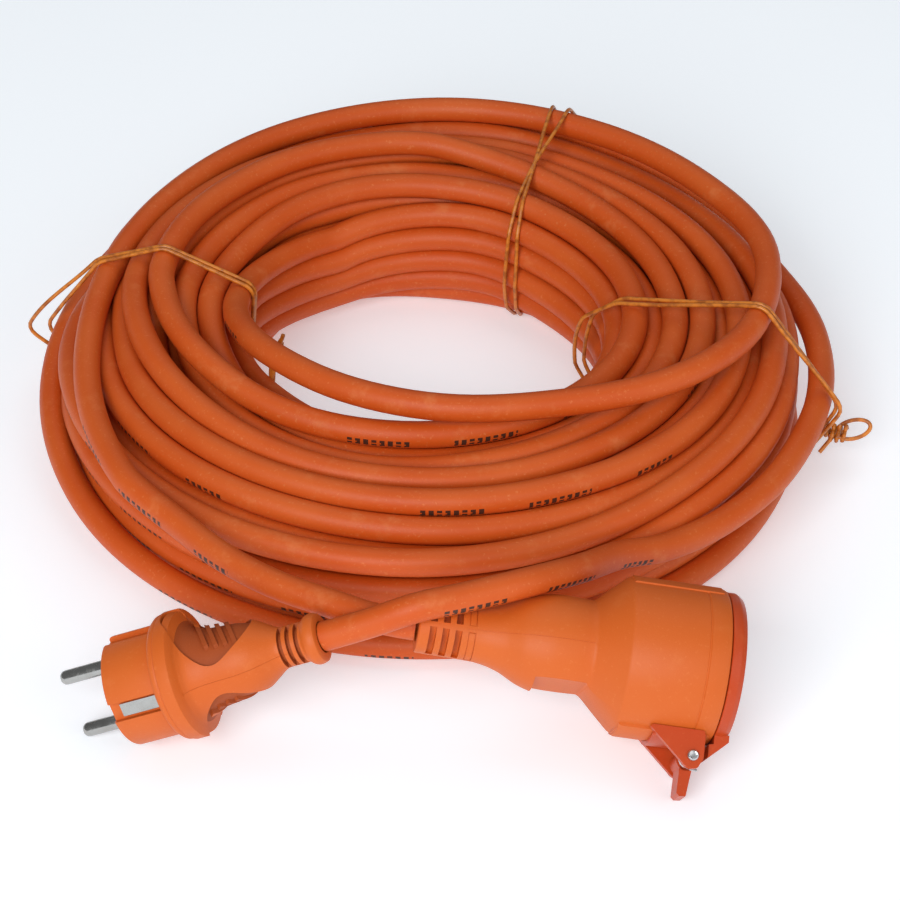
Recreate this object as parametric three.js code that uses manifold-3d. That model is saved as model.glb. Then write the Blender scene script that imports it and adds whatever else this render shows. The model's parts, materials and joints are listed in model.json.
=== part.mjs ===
// A coiled outdoor extension cord: a moulded plug, a coupler with a sprung lid, and the rubber
// cable between them, wound into a flat coil and held by three ties. Millimetres, +Z up.
// The origin is the middle of the footprint, on the surface that the coil lies on.

import * as THREE from 'three';
import { mergeVertices } from 'three/addons/utils/BufferGeometryUtils.js';
import Module from 'manifold-3d';

const wasm = await Module();
wasm.setup();

// ---- driving dimensions ----

const GAP = 0.3; // between pieces that touch
const DEG = Math.PI / 180;

const CABLE_RADIUS = 4.75;
const CORE_RADIUS = 1.45;

// The coil, about its own centre, which stands off the origin because both ends lie in front.
const COIL_CENTRE = [-6.6, 35.9];
const COIL_INNER = 61;
const COIL_OUTER = 133.8;
const COIL_BOTTOM = 2.3;
const COIL_TOP = 62;
const COIL_SQUARENESS = 2.4; // 2 is an ellipse, more is squarer

const TIE_RADIUS = 0.8;
const TIE_CLEARANCE = 0.6;

// Each end is modelled along +X and then turned: heading about Z, dip of its nose, roll about X.
const PLUG_POSE = { at: [-95.9, -168.8, 17.9], heading: 176.3, dip: 22.4, roll: 17.4 };
const COUPLER_POSE = { at: [90.3, -170.4, 28.8], heading: -0.8, dip: 10.0, roll: -54.1 };

// Plug: x = 0 is its front face, and the pins point along +X.
const PLUG_LENGTH = 68.6;
const PLUG_RADIUS = 17.8;
const PLUG_FRONT = 17; // front face to flange
const FLANGE_RADIUS = 20.7;
const PIN_RADIUS = 2.4;
const PIN_REACH = 19;
const PIN_OFFSET = 9.5;
const BRIDGE_RADIUS = 13.8;
const BRIDGE_DEPTH = 25.7;
const STRAP_X = -18.8; // the earth strap crosses the plug here
const STRAP_WIDTH = 4.2;
const STRAP_THICK = 0.8;
const NOTCH_FLOOR = 15.4;
const NOTCH_WIDTH = 6.2;
const GUIDE_WIDTH = 6.4;
const GUIDE_FLOOR = 15.8;
const EARTH_HOLE_RADIUS = 2.6;

// Coupler: x = 0 is its mouth, the lid is in front of it, and the hinge is on the -Z side.
const COUPLER_LENGTH = 95;
const COUPLER_RADIUS = 24.8;
const WELL_RADIUS = 19.75;
const WELL_DEPTH = 17.5;
const BLOCK_RADIUS = 22;
const BOSS_RADIUS = 13.8;
const CLIP_REACH = 18.5; // earth clips to the axis
const HINGE_X = -6.7;
const HINGE_Z = -30.8;
const EAR_INNER = 9;
const EAR_THICK = 2;
const HINGE_PIN_RADIUS = 1.25;
const LID_RADIUS = 24.2;
const LID_THICK = 4.7;

// ---- materials ----

const ORANGE_RUBBER = { color: 0xd9541c, roughness: 0.55, metalness: 0 };
const ORANGE_HOUSING = { color: 0xd8561f, roughness: 0.5, metalness: 0 };
const RED_PLASTIC = { color: 0xcf4420, roughness: 0.38, metalness: 0 };
const TIE_PLASTIC = { color: 0xd08a34, roughness: 0.4, metalness: 0 };
const GREY_PLASTIC = { color: 0x3c3d40, roughness: 0.55, metalness: 0 };
const NICKEL = { color: 0xb9b6ae, roughness: 0.25, metalness: 1 };
const BRASS = { color: 0xb5914a, roughness: 0.35, metalness: 1 };
const STEEL = { color: 0x9fa1a3, roughness: 0.3, metalness: 1 };
const BLACK_RUBBER = { color: 0x1d1d1e, roughness: 0.7, metalness: 0 };
const CORE_COLOURS = { brown: 0x5b3320, blue: 0x2a5fae, earth: 0x6f9a2c };

// ---- solids ----

function signedVolume(position, index) {
  const a = new THREE.Vector3();
  const b = new THREE.Vector3();
  const c = new THREE.Vector3();
  let sum = 0;
  for (let i = 0; i < index.length; i += 3) {
    a.fromBufferAttribute(position, index[i]);
    b.fromBufferAttribute(position, index[i + 1]);
    c.fromBufferAttribute(position, index[i + 2]);
    sum += a.dot(b.cross(c));
  }
  return sum / 6;
}

// A three.js geometry as a closed manifold solid with its faces pointing out.
function solid(geometry) {
  const bare = geometry.clone();
  bare.deleteAttribute('normal');
  bare.deleteAttribute('uv');
  const welded = mergeVertices(bare, 1e-4);
  const index = [];
  for (let i = 0; i < welded.index.count; i += 3) {
    const [a, b, c] = [0, 1, 2].map((k) => welded.index.getX(i + k));
    if (a !== b && b !== c && c !== a) index.push(a, b, c);
  }
  if (signedVolume(welded.attributes.position, index) < 0) index.reverse();
  const vertProperties = Float32Array.from(welded.attributes.position.array);
  const triVerts = Uint32Array.from(index);
  return new wasm.Manifold(new wasm.Mesh({ numProp: 3, vertProperties, triVerts }));
}

function join(...solids) {
  return solids.reduce((whole, next) => whole.add(next));
}

function cut(body, ...tools) {
  return tools.reduce((whole, tool) => whole.subtract(tool), body);
}

// A profile of [x, radius] points turned about the X axis. It starts and ends on the axis.
function turned(profile, segments = 32) {
  const points = profile.map(([x, r]) => new THREE.Vector2(r, x));
  return solid(new THREE.LatheGeometry(points, segments).rotateZ(-Math.PI / 2));
}

// A plain round bar along X, from x0 to x1.
function bar(x0, x1, radius, segments = 24) {
  return turned([[x0, 0], [x0, radius], [x1, radius], [x1, 0]], segments);
}

// A tube along X.
function sleeve(x0, x1, inner, outer, segments = 32) {
  return turned([[x0, inner], [x0, outer], [x1, outer], [x1, inner], [x0, inner]], segments);
}

function box(x0, x1, y0, y1, z0, z1) {
  const geometry = new THREE.BoxGeometry(x1 - x0, y1 - y0, z1 - z0);
  return solid(geometry.translate((x0 + x1) / 2, (y0 + y1) / 2, (z0 + z1) / 2));
}

// An outline of [x, z] points, drawn in the XZ plane and given a thickness along Y.
function plate(outline, y0, y1) {
  const shape = new THREE.Shape(outline.map(([x, z]) => new THREE.Vector2(x, z)));
  const geometry = new THREE.ExtrudeGeometry(shape, { depth: y1 - y0, bevelEnabled: false });
  return solid(geometry.rotateX(Math.PI / 2).translate(0, y1, 0));
}

// Points of an arc about (cx, cz), for a plate's outline.
function arc(cx, cz, radius, from, to, count) {
  return Array.from({ length: count + 1 }, (_, i) => {
    const angle = (from + ((to - from) * i) / count) * DEG;
    return [cx + radius * Math.cos(angle), cz + radius * Math.sin(angle)];
  });
}

// A round rod along a smooth curve through the points.
function rod(points, radius, steps, sides = 12) {
  const section = new THREE.Shape();
  section.absarc(0, 0, radius, 0, Math.PI * 2);
  const extrudePath = new THREE.CatmullRomCurve3(points.map((p) => new THREE.Vector3(...p)));
  const settings = { steps, extrudePath, curveSegments: sides / 2, bevelEnabled: false };
  return solid(new THREE.ExtrudeGeometry(section, settings));
}

// The stretch from inner to outer on one side of an axis, lowest first.
function span(side, inner, outer) {
  return [inner * side, outer * side].sort((a, b) => a - b);
}

// A round bar along Y.
function crossBar(x, z, radius, y0, y1, segments = 24) {
  const geometry = new THREE.CylinderGeometry(radius, radius, y1 - y0, segments);
  return solid(geometry.translate(x, (y0 + y1) / 2, z));
}

function mesh(name, body, look) {
  const made = body.getMesh();
  const geometry = new THREE.BufferGeometry();
  geometry.setAttribute('position', new THREE.BufferAttribute(Float32Array.from(made.vertProperties), 3));
  geometry.setIndex(new THREE.BufferAttribute(Uint32Array.from(made.triVerts), 1));
  geometry.computeVertexNormals();
  const node = new THREE.Mesh(geometry, new THREE.MeshStandardMaterial(look));
  node.name = name;
  return node;
}

// ---- cable ----

// The coil's section is a rounded square between its inner and outer radius.
function coilSection(margin, count, extraOutside = 0) {
  const middle = (COIL_INNER + COIL_OUTER) / 2;
  const halfWidth = (COIL_OUTER - COIL_INNER) / 2 + margin;
  const height = (COIL_TOP + COIL_BOTTOM) / 2;
  const halfHeight = (COIL_TOP - COIL_BOTTOM) / 2 + margin;
  const power = 2 / COIL_SQUARENESS;
  return Array.from({ length: count }, (_, i) => {
    const angle = (2 * Math.PI * i) / count;
    const [c, s] = [Math.cos(angle), Math.sin(angle)];
    const reach = c > 0 ? halfWidth + extraOutside : -halfWidth;
    const r = middle + reach * Math.abs(c) ** power;
    const z = height + halfHeight * Math.sign(s) * Math.abs(s) ** power;
    return [r, z];
  });
}

function cableCoil() {
  const section = coilSection(0, 16);
  const points = [...section, section[0]].map(([r, z]) => new THREE.Vector2(r, z));
  const ring = new THREE.LatheGeometry(points, 48).rotateX(Math.PI / 2);
  return solid(ring);
}

// From the plug, over the back of the coupler, then round the coil's right side.
const PLUG_LEAD_ROUTE = [
  [-32.3, -172.9, 44.2], [-17, -174.4, 51.4], [-3, -175, 58], [10, -171, 58.2], [20, -167.5, 58.2],
  [30, -163, 57.6], [40, -155.5, 54.4], [50, -145, 49], [62, -130, 41.5], [79, -117, 34.5],
  [98.5, -99.6, 31], [117, -77.5, 30], [130.5, -52, 30], [139, -25.5, 30], [141.3, 2, 30],
  [137.6, 28, 30], [128, 54.6, 30],
];

// From the coupler, behind the plug's strain relief, to the coil's left side.
const SOCKET_LEAD_ROUTE = [
  [-3.8, -169.1, 45.4], [-8, -169, 46.1], [-18, -164.8, 45.4], [-30, -157.6, 44.4],
  [-48, -147.5, 43.6], [-66, -133, 43], [-83, -115, 43.5], [-97, -101, 45],
];

// ---- ties ----

// A tie loops round the coil's section at one place on its circle, and round the lead beside it.
function tie(angle, extraOutside = 0) {
  const loop = coilSection(TIE_RADIUS + TIE_CLEARANCE, 24, extraOutside);
  const direction = [Math.cos(angle * DEG), Math.sin(angle * DEG)];
  const points = loop.map(([r, z]) => new THREE.Vector3(r * direction[0], r * direction[1], z));
  const extrudePath = new THREE.CatmullRomCurve3(points, true);
  const section = new THREE.Shape();
  section.absarc(0, 0, TIE_RADIUS, 0, Math.PI * 2);
  const ends = new THREE.ExtrudeGeometry(section, {
    steps: 30, extrudePath, curveSegments: 3, bevelEnabled: false,
  });
  return solid(ends);
}

// ---- plug ----

function plugBody() {
  const outside = turned([
    [0, 0], [0, PLUG_RADIUS - 1], [-1, PLUG_RADIUS], [-PLUG_FRONT, PLUG_RADIUS], [-18.4, 19.8],
    [-20, FLANGE_RADIUS - 0.2], [-22, FLANGE_RADIUS], [-24, 20.2], [-26, 18.4], [-28, 15.8], [-29.6, 14.3],
    [-33, 13.4], [-42, 12.7], [-47, 11.2], [-51, 8.9], [-54, 7], [-55, 6.5], [-63.4, 6.5], [-64.8, 7.8],
    [-66.6, 8.2], [-68, 7.9], [-PLUG_LENGTH, 7.2], [-PLUG_LENGTH, 0],
  ], 36);
  const cavity = turned([
    [1, 0], [1, BRIDGE_RADIUS + GAP], [-BRIDGE_DEPTH - GAP, BRIDGE_RADIUS + GAP],
    [-BRIDGE_DEPTH - GAP, 12.6], [-33, 10.8], [-46, 5.6], [-52, 4], [-64, 4],
    [-64, CABLE_RADIUS + GAP], [-PLUG_LENGTH - 1, CABLE_RADIUS + GAP], [-PLUG_LENGTH - 1, 0],
  ], 28);
  const tools = [cavity];
  for (const side of [-1, 1]) {
    const notch = span(side, NOTCH_FLOOR, 25);
    tools.push(box(-PLUG_FRONT + 0.2, 1, ...notch, -NOTCH_WIDTH / 2, NOTCH_WIDTH / 2));
    const guide = span(side, GUIDE_FLOOR, 25);
    tools.push(box(-PLUG_FRONT + 0.2, 1, -GUIDE_WIDTH / 2, GUIDE_WIDTH / 2, ...guide));
    const slit = STRAP_WIDTH / 2 + GAP;
    const deep = span(side, BRIDGE_RADIUS - 1, NOTCH_FLOOR + STRAP_THICK + 2 * GAP);
    tools.push(box(STRAP_X - STRAP_THICK / 2 - GAP, -PLUG_FRONT + 1, ...deep, -slit, slit));
    tools.push(gripRecess(side));
    for (const x of [-56.3, -59.3, -62.3]) tools.push(reliefSlot(x, side));
  }
  return cut(outside, ...tools);
}

// A shallow oval finger recess on the body behind the flange.
function gripRecess(side) {
  const shell = cut(
    turned([[-22.5, 0], [-22.5, 24], [-50, 24], [-50, 0]], 36),
    turned([
      [-22, 0], [-22, 20.5], [-22.5, 20.5], [-26, 16.2], [-29, 13.2], [-33, 12], [-42, 11.3],
      [-47, 10], [-51, 8], [-51, 0],
    ], 36),
  );
  const oval = new THREE.Shape();
  oval.absellipse(-35.5, 0, 13, 9.8, 0, Math.PI * 2);
  const geometry = new THREE.ExtrudeGeometry(oval, { depth: 25, bevelEnabled: false, curveSegments: 12 });
  const column = solid(side > 0 ? geometry : geometry.translate(0, 0, -25));
  return shell.intersect(column);
}

// One curved slot in the strain relief, on the side of an earth notch.
function reliefSlot(x, side) {
  const groove = sleeve(x - 0.65, x + 0.65, 5.2, 9, 28);
  return groove.intersect(box(x - 2, x + 2, ...span(side, 0.5, 10), -5, 5));
}

function plugBridge() {
  const tools = [];
  for (const side of [-1, 1]) {
    const hole = bar(-BRIDGE_DEPTH - 1, 1, PIN_RADIUS + GAP);
    tools.push(hole.translate([0, 0, PIN_OFFSET * side]));
  }
  const slit = STRAP_WIDTH / 2 + GAP;
  const half = STRAP_THICK / 2 + GAP;
  tools.push(box(STRAP_X - half, STRAP_X + half, -20, 20, -slit, slit));
  tools.push(bar(-15, 1, EARTH_HOLE_RADIUS).translate([0, -10, 0]));
  return cut(bar(-BRIDGE_DEPTH, -0.2, BRIDGE_RADIUS, 36), ...tools);
}

// Solid pin with a rounded tip and a crimp barrel behind the bridge.
function plugPin(side) {
  const profile = [[PIN_REACH, 0], [PIN_REACH, 1.2], [PIN_REACH - 0.5, 1.9], [PIN_REACH - 1.6, PIN_RADIUS]];
  profile.push([-22, PIN_RADIUS], [-22.5, 1.9], [-27.5, 1.9], [-27.5, 1.25], [-23.5, 1.25], [-23.5, 0]);
  return turned(profile, 24).translate([0, 0, PIN_OFFSET * side]);
}

// The earth strap lies in both notches and crosses the bridge between the pins.
function plugEarthStrap() {
  const half = STRAP_WIDTH / 2;
  const reach = NOTCH_FLOOR + GAP + STRAP_THICK;
  const parts = [box(STRAP_X - STRAP_THICK / 2, STRAP_X + STRAP_THICK / 2, -reach, reach, -half, half)];
  for (const side of [-1, 1]) {
    const across = span(side, NOTCH_FLOOR + GAP, reach);
    parts.push(box(STRAP_X - STRAP_THICK / 2, -3.6, ...across, -half, half));
  }
  return join(...parts);
}

// ---- coupler ----

function socketHousing() {
  const outside = turned([
    [0, 0], [0, COUPLER_RADIUS - 0.6], [-0.8, COUPLER_RADIUS], [-31.2, COUPLER_RADIUS],
    [-40.3, 15.9], [-49, 16.1], [-57, 15.4], [-62, 13.8], [-68, 10.8], [-72, 9.4], [-76, 8.7],
    [-COUPLER_LENGTH, 8.3], [-COUPLER_LENGTH, 0],
  ], 40);
  const cavity = turned([
    [1, 0], [1, BLOCK_RADIUS + GAP], [-29.4, BLOCK_RADIUS + GAP], [-29.4, BOSS_RADIUS + GAP],
    [-37.4, BOSS_RADIUS + GAP], [-40.8, 12.3], [-42.2, 10.7], [-50, 8.8], [-60, 6.3], [-70, 4],
    [-90, 4], [-90, CABLE_RADIUS + GAP], [-COUPLER_LENGTH - 1, CABLE_RADIUS + GAP],
    [-COUPLER_LENGTH - 1, 0],
  ], 32);
  const tools = [cavity, box(-57.5, -41, -20, 20, -20, -12.2)];
  for (let row = 0; row < 6; row += 1) {
    for (const x of [-90.6, -86.4, -82.2]) tools.push(reliefWindow(x, row * 60 + 24));
  }
  const rib = box(-31, -1.5, -1.3, 1.3, COUPLER_RADIUS - 1, COUPLER_RADIUS + 0.7);
  return cut(join(outside, rib), ...tools);
}

// A small window through the flexible tail, long side round the tail.
function reliefWindow(x, angle) {
  const window = box(x - 0.85, x + 0.85, -3, 3, 5.9, 10);
  return window.rotate([angle, 0, 0]);
}

// The hard block: a well for the plug, with a boss behind it that holds the contacts.
function socketBlock() {
  const block = join(bar(-27.8, -0.4, BLOCK_RADIUS, 40), bar(-37.1, -20, BOSS_RADIUS, 32));
  const well = bar(-WELL_DEPTH, 1, WELL_RADIUS, 40);
  const tools = [];
  for (const side of [-1, 1]) {
    tools.push(bar(-20, -16, 2.8).translate([0, PIN_OFFSET * side, 0]));
    tools.push(bar(-40, -19.2, 3.6).translate([0, PIN_OFFSET * side, 0]));
    const across = span(side, CLIP_REACH - 0.7, CLIP_REACH + 0.7);
    tools.push(box(-30, -15, -2.8, 2.8, ...across));
  }
  const guides = [-1, 1].map((side) => box(-20, -1, ...span(side, 17.6, 21), -2, 2));
  return cut(join(cut(block, well), ...guides), ...tools);
}

// A contact: a sleeve that takes a pin, with a crimp barrel behind it.
function socketContact(side) {
  const profile = [[-20, 2.45], [-20, 3.25], [-35, 3.25], [-36, 1.9], [-40.4, 1.9], [-40.4, 1.25]];
  profile.push([-37, 1.25], [-37, 0], [-34, 0], [-34, 2.45], [-20, 2.45]);
  return turned(profile, 24).translate([0, PIN_OFFSET * side, 0]);
}

// A ring behind the block carries the two earth clips that reach into the well.
function socketEarthBridge() {
  const parts = [sleeve(-28.95, -28.15, BOSS_RADIUS + GAP + 0.3, 21.6, 40)];
  for (const side of [-1, 1]) {
    const across = span(side, CLIP_REACH - 0.4, CLIP_REACH + 0.4);
    parts.push(box(-28.5, -3, -2.5, 2.5, ...across));
  }
  return join(...parts);
}

// Two ears with a curved web between them, which lies on the housing.
function hingeBracket() {
  const outline = [
    [-20, -22.6], [-8.6, HINGE_Z - 3.4], ...arc(HINGE_X, HINGE_Z, 4, 230, 300, 4), [-2.5, -31],
    [-2.5, -22.6],
  ];
  const sides = [-1, 1].map((side) => span(side, EAR_INNER, EAR_INNER + EAR_THICK));
  const parts = sides.map((across) => plate(outline, ...across));
  const reach = EAR_INNER + 0.5;
  const web = sleeve(-19.4, -11.4, COUPLER_RADIUS, COUPLER_RADIUS + 1.3, 72);
  parts.push(web.intersect(box(-21, -10, -reach, reach, -30, -20)));
  const bore = crossBar(HINGE_X, HINGE_Z, HINGE_PIN_RADIUS + GAP, -20, 20);
  const barrel = bar(-22, 0, COUPLER_RADIUS + GAP, 72);
  return cut(join(...parts), bore, barrel);
}

function hingePin() {
  const outer = EAR_INNER + EAR_THICK;
  const shank = crossBar(HINGE_X, HINGE_Z, HINGE_PIN_RADIUS, -outer - 0.6, outer + 0.6);
  const sides = [-1, 1].map((side) => span(side, outer + GAP, outer + 1.1));
  const heads = sides.map((across) => crossBar(HINGE_X, HINGE_Z, 1.75, ...across));
  return join(shank, ...heads);
}

// A torsion spring round the pin, one leg under the web and one on the lid's arm.
function lidSpring() {
  const coilRadius = 2.6;
  const turns = 4;
  const first = -8.2;
  const pitch = 1.15;
  const points = [[-13, first, -28], [-10, first, -28.1]];
  for (let i = 0; i <= turns * 10 + 5; i += 1) {
    const angle = 90 - i * 36;
    const along = first + (pitch * i) / 10;
    points.push([
      HINGE_X + coilRadius * Math.cos(angle * DEG), along, HINGE_Z + coilRadius * Math.sin(angle * DEG),
    ]);
  }
  const last = first + pitch * (turns + 0.5);
  points.push([-3.4, last, HINGE_Z - 2.9]);
  return rod(points, 0.45, 72, 6);
}

// The lid: a disc with a gasket groove, an arm to the hinge and a thumb lever past it.
function lid() {
  const disc = turned([
    [GAP, 0], [GAP, LID_RADIUS], [3.4, LID_RADIUS], [LID_THICK + GAP, 23], [LID_THICK + GAP, 0],
  ], 40);
  const spigot = turned([[-1.4, 0], [-1.4, 17.2], [1, 17.2], [1, 0]], 36);
  const groove = sleeve(-1, 2.2, 19.7, 22.5, 40);
  const arm = plate([
    [LID_THICK + GAP, -23], [LID_THICK + GAP, -24.6], ...arc(HINGE_X, HINGE_Z, 3.3, 300, 80, 14),
    [-2.2, -26.2], [GAP, -25.7], [GAP, -23],
  ], -7.6, 7.6);
  const springBay = box(-14, -1.2, -9, -2.2, -36, -26);
  const lever = plate([
    [-8.7, -32], [-8.8, -41.2], [-7.8, -42], [-5.8, -41.8], [-4.6, -32],
  ], -2.2, 6.6);
  const bore = crossBar(HINGE_X, HINGE_Z, HINGE_PIN_RADIUS + GAP, -20, 20);
  return cut(join(cut(disc, groove), spigot, cut(arm, springBay), lever), bore);
}

function lidGasket() {
  return sleeve(0.5, 1.9, 20, 22.2, 40);
}

// ---- cores ----

// Three insulated conductors run from the contacts to the start of the cable.
function cores(prefix, rear, firstAngle, ends) {
  const names = Object.keys(CORE_COLOURS);
  return names.map((name, i) => {
    const angle = (firstAngle + i * 120) * DEG;
    const [y, z] = [1.95 * Math.cos(angle), 1.95 * Math.sin(angle)];
    const [endX, endY, endZ] = ends[name];
    const length = endX - rear;
    const points = [
      [rear, y, z], [rear + length * 0.35, y, z], [rear + length * 0.5, y * 1.3, z * 1.3],
      [rear + length * 0.8, endY * 0.75, endZ * 0.75], [endX - 2, endY * 0.96, endZ * 0.96],
      [endX, endY, endZ],
    ];
    const look = { color: CORE_COLOURS[name], roughness: 0.45, metalness: 0 };
    return mesh(`${prefix}_core_${name}`, rod(points, CORE_RADIUS, 14, 8), look);
  });
}

// ---- assembly ----

function posed(pose, ...children) {
  const group = new THREE.Group();
  group.position.set(...pose.at);
  group.rotation.order = 'ZYX';
  group.rotation.set(pose.roll * DEG, pose.dip * DEG, pose.heading * DEG);
  group.add(...children);
  return group;
}

const plug = posed(
  PLUG_POSE,
  mesh('plug_body', plugBody(), ORANGE_HOUSING),
  mesh('plug_bridge', plugBridge(), GREY_PLASTIC),
  mesh('plug_pin_left', plugPin(1), NICKEL),
  mesh('plug_pin_right', plugPin(-1), NICKEL),
  mesh('plug_earth_strap', plugEarthStrap(), NICKEL),
  ...cores('plug', -63.5, 90, {
    brown: [-28.1, 0, PIN_OFFSET], blue: [-28.1, 0, -PIN_OFFSET], earth: [-27, 2.5, 0],
  }),
);

const coupler = posed(
  COUPLER_POSE,
  mesh('socket_housing', socketHousing(), ORANGE_HOUSING),
  mesh('socket_block', socketBlock(), GREY_PLASTIC),
  mesh('socket_contact_left', socketContact(1), BRASS),
  mesh('socket_contact_right', socketContact(-1), BRASS),
  mesh('socket_earth_bridge', socketEarthBridge(), BRASS),
  ...cores('socket', -89.5, 0, {
    brown: [-41, 8.5, 0], blue: [-41, -8.5, 0], earth: [-39.5, 0, -6],
  }),
  mesh('hinge_bracket', hingeBracket(), RED_PLASTIC),
  mesh('hinge_pin', hingePin(), STEEL),
  mesh('lid_spring', lidSpring(), STEEL),
  mesh('lid', lid(), RED_PLASTIC),
  mesh('lid_gasket', lidGasket(), BLACK_RUBBER),
);

const group = new THREE.Group();
group.position.set(COIL_CENTRE[0], COIL_CENTRE[1], 0);
group.add(
  mesh('cable_coil', cableCoil(), ORANGE_RUBBER),
  mesh('plug_lead', rod(PLUG_LEAD_ROUTE, CABLE_RADIUS, 34), ORANGE_RUBBER),
  mesh('socket_lead', rod(SOCKET_LEAD_ROUTE, CABLE_RADIUS, 12), ORANGE_RUBBER),
  mesh('tie_left', tie(165), TIE_PLASTIC),
  mesh('tie_back', tie(72), TIE_PLASTIC),
  mesh('tie_right', tie(-8, 2 * CABLE_RADIUS + 3), TIE_PLASTIC),
  plug,
  coupler,
);

export default group;
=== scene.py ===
# An outdoor extension cord in Blender: the wound cable, its ties, the plug, and the coupler with its
# sprung lid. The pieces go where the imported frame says. Outlines are in millimetres, all else in metres.

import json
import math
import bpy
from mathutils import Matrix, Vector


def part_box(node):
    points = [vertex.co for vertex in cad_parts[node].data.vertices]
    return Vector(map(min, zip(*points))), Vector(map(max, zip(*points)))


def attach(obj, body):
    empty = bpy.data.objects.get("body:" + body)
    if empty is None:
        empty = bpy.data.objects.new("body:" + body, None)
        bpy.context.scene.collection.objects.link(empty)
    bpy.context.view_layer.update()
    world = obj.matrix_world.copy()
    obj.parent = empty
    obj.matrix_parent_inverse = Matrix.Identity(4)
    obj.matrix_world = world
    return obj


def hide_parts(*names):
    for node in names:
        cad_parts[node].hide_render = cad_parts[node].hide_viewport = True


bl_info = {
    "name": "Extension Cord",
    "version": (1, 0, 0),
    "blender": (4, 5, 0),
    "location": "View3D > Sidebar > Cord",
    "description": "Builds a coiled outdoor extension cord piece by piece",
    "category": "Object",
}

import bmesh
import bpy
import numpy as np
from bpy.props import FloatProperty, FloatVectorProperty, IntProperty, PointerProperty
from mathutils import Matrix, Vector

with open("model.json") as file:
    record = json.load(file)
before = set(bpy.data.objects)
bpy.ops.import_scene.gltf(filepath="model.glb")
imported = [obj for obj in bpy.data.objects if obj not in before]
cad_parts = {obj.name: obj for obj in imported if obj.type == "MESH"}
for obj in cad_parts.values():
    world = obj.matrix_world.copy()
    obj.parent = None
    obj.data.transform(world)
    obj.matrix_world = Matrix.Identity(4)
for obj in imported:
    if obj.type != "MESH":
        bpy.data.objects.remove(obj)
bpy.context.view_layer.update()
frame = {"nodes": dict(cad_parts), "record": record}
MOUNTS = {mount["name"]: mount for mount in frame["record"]["mounts"]}
HINGE = frame["record"]["behaviour"]["joints"][0]

MM = 0.001
ROUND = 96  # steps round a turned piece
COARSE = 72  # steps round a tool or a hidden hollow
ROD_SIDES = 40
OVAL_SIDES = 64
EDGE_ANGLE = math.radians(32)  # a sharper corner than this is an edge, and is rounded
ALONG = 0  # the coordinate of a tube's map that runs along it

# The camera looks at the coil from the front, from above.
CAMERA_DISTANCE = 1.0
CAMERA_HEIGHT = math.radians(37.5)
CAMERA_AIM = Vector((0.007, -0.020, 0.0))  # from the middle of the coil
CAMERA_LENS = 109.6

PLUG_MARK = 10.9  # the plug's mount is this far from its axis, along both Y and Z
HINGE_X, HINGE_Z = -6.7, -30.8  # the hinge, in the coupler's own frame

# ---- where things are ----


def middle_of(node):
    low, high = (Vector(corner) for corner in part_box(node))
    return (low + high) / 2


def axes_at(origin, x, y, z):
    place = Matrix((x, y, z)).transposed().to_4x4()
    place.translation = origin
    return place


def plug_place():
    """The plug's own frame: x = 0 is its front face, the pins point along +X and lie on the Z axis."""
    mount = MOUNTS["plug_face"]
    x = Vector(mount["axis"]).normalized()
    z = (middle_of("plug_pin_left") - middle_of("plug_pin_right")).normalized()
    y = z.cross(x)
    return axes_at(Vector(mount["pos_m"]) - (y + z) * PLUG_MARK * MM, x, y, z)


def coupler_place():
    """The coupler's own frame: x = 0 is its mouth, the lid is on +X and the hinge on -Z."""
    x = Vector(MOUNTS["socket_face"]["axis"]).normalized()
    y = Vector(HINGE["axis"]).normalized()
    z = x.cross(y)
    return axes_at(Vector(HINGE["pos_m"]) - x * HINGE_X * MM - z * HINGE_Z * MM, x, y, z)


COIL_MIDDLE = Vector((*middle_of("cable_coil").xy, 0))

# ---- sizes and colours that a user would change ----


def length(name, default, description):
    return FloatProperty(name=name, default=default, description=description, unit="LENGTH", precision=4)


def colour(name, default, description):
    return FloatVectorProperty(
        name=name, default=default, description=description, subtype="COLOR", size=3, min=0, max=1
    )


class CableSizes(bpy.types.PropertyGroup):
    diameter: length("Diameter", 0.0095, "Across the cable's sheath")
    long: length("Length", 25.0, "Of the whole cable, from the plug to the coupler")
    sides: IntProperty(name="Sides", default=14, min=8, max=24, description="Sides of the cable's section")


class TieSizes(bpy.types.PropertyGroup):
    thickness: length("Thickness", 0.0015, "Across one strand of a tie")
    knot: length("Knot", 0.0031, "Half the width of the knot")


class PlugSizes(bpy.types.PropertyGroup):
    pin_radius: length("Pin radius", 0.0024, "Half the thickness of a pin")
    pin_reach: length("Pin reach", 0.019, "How far the pins stand out of the front face")
    pin_offset: length("Pin offset", 0.0095, "From the plug's axis to a pin's axis")


class CouplerSizes(bpy.types.PropertyGroup):
    lid_radius: length("Lid radius", 0.0242, "Half the lid's diameter")
    ear_inner: length("Ear gap", 0.009, "From the middle of the hinge to an ear")
    ear_thick: length("Ear thickness", 0.002, "Of each hinge ear")


class Finishes(bpy.types.PropertyGroup):
    cable: colour("Cable", (0.58, 0.082, 0.006), "Orange of the cable's rubber")
    housing: colour("Housing", (0.61, 0.112, 0.011), "Orange of the moulded ends")
    # The recess colour is a darker copy of the housing's orange, put on the faces in the finger recesses
    # and slots.
    recess: colour("Recess", (0.36, 0.062, 0.008), "Matt orange of the finger recesses and slots")
    lid: colour("Lid", (0.50, 0.054, 0.009), "Red of the lid and its hinge")
    tie: colour("Tie", (0.66, 0.21, 0.022), "Amber of the ties")
    floor: colour("Floor", (0.86, 0.90, 0.94), "Pale colour of the floor")


# ---- node helpers ----


def add(tree, kind, inputs=None, **settings):
    """A new node. An input is a value or another node's output socket."""
    node = tree.nodes.new(kind)
    for name, value in settings.items():
        setattr(node, name, value)
    for key, value in (inputs or {}).items():
        if isinstance(value, bpy.types.NodeSocket):
            tree.links.new(value, node.inputs[key])
        else:
            node.inputs[key].default_value = value
    return node


def maths(tree, operation, *values):
    return add(tree, "ShaderNodeMath", dict(enumerate(values)), operation=operation).outputs[0]


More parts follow.
